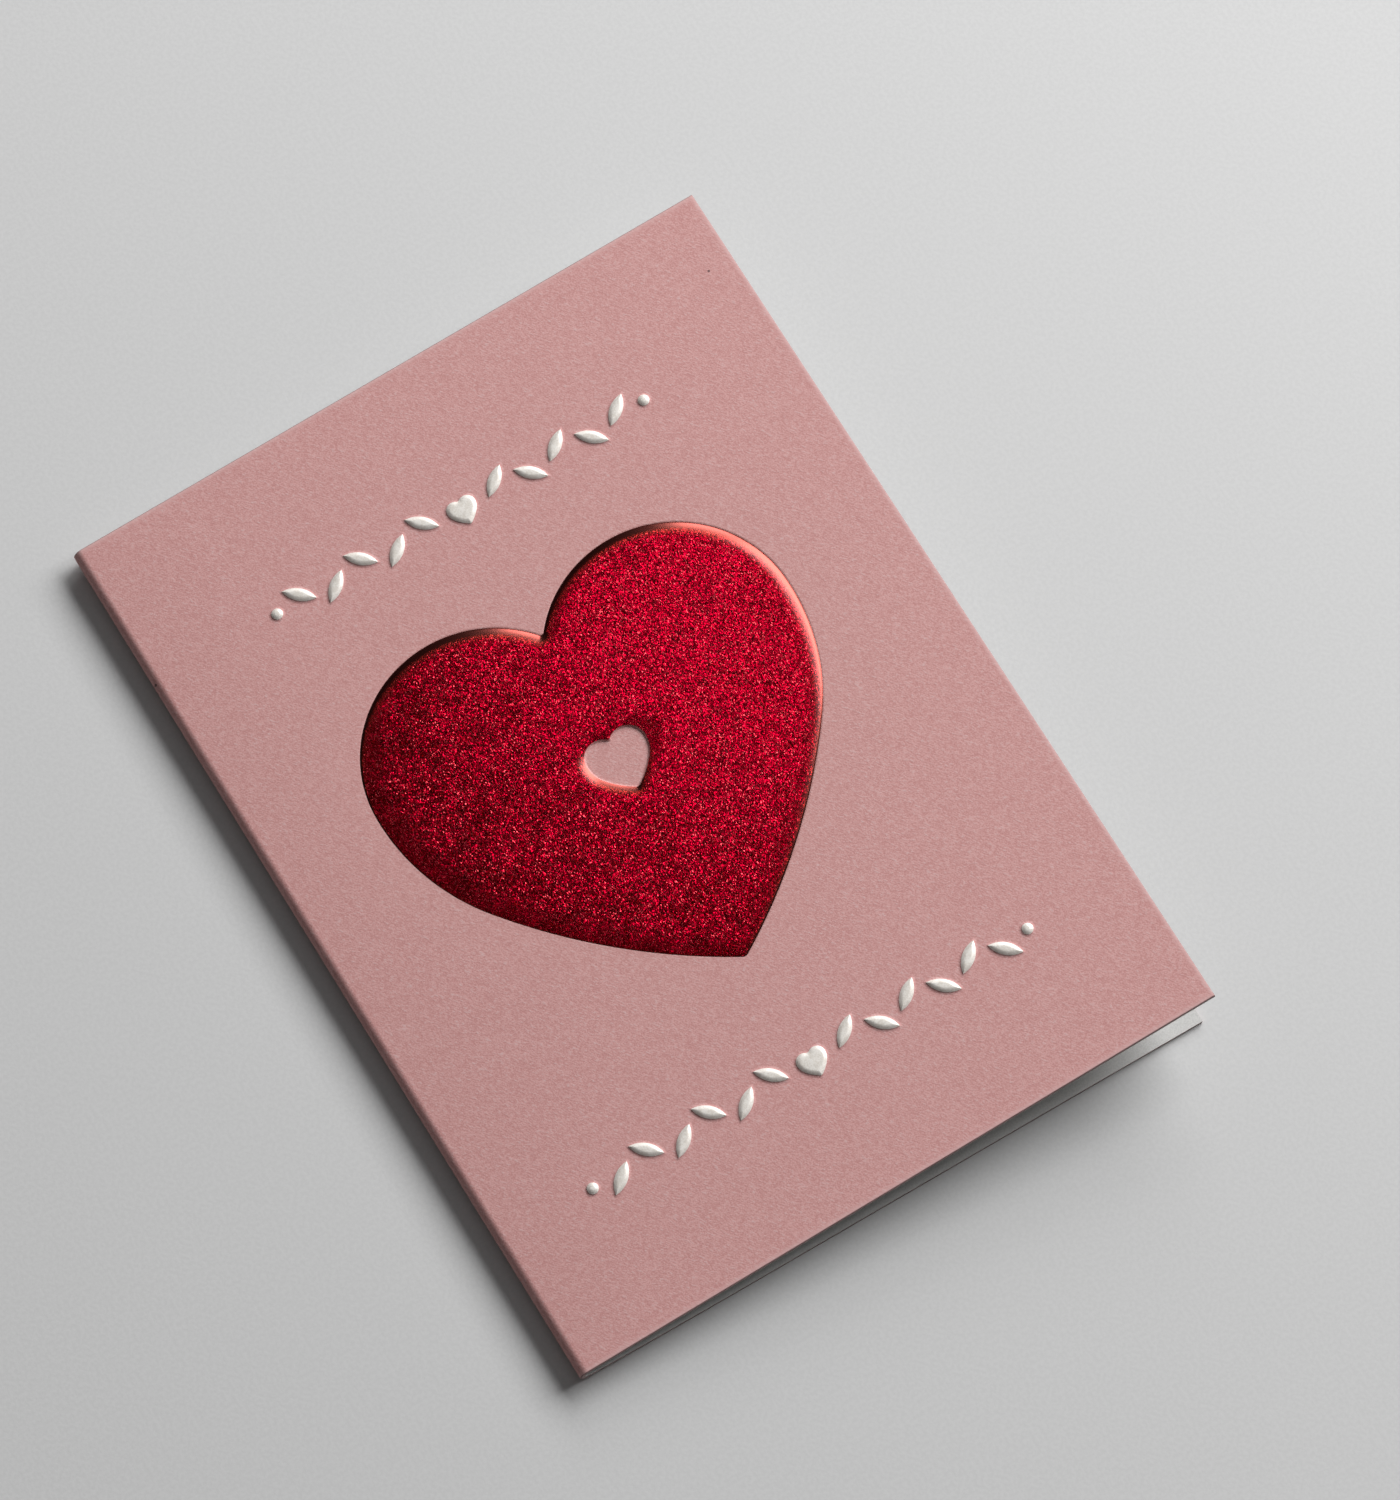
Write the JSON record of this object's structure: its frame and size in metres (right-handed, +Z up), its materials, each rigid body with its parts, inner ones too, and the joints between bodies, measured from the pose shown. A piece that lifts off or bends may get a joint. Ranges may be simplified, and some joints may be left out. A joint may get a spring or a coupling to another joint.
{
  "type": "greeting card",
  "caption": "Folded greeting card lying on its back panel, sprung a little open, with an embossed red foil heart and raised pearl foil leaf rows on its pink front.",
  "frame": {"origin": "centre of the bounding box, on the table that the back panel lies on", "axes": "+X from the fold to the free edges, +Y from the bottom edge to the top edge, +Z up off the table"},
  "size_m": [0.1096, 0.15, 0.0118],
  "materials": {
    "pink_board": "thick uncoated card, dusty pink outside and off-white inside",
    "red_foil": "hot-stamped red metallic foil, glossy, with a fine drawn grain",
    "pearl_foil": "pearl foil with a soft satin shine"
  },
  "bodies": {
    "root": {"folded_board": "pink_board", "heart_foil": "red_foil", "pearl_foil": "pearl_foil"}
  },
  "joints": []
}
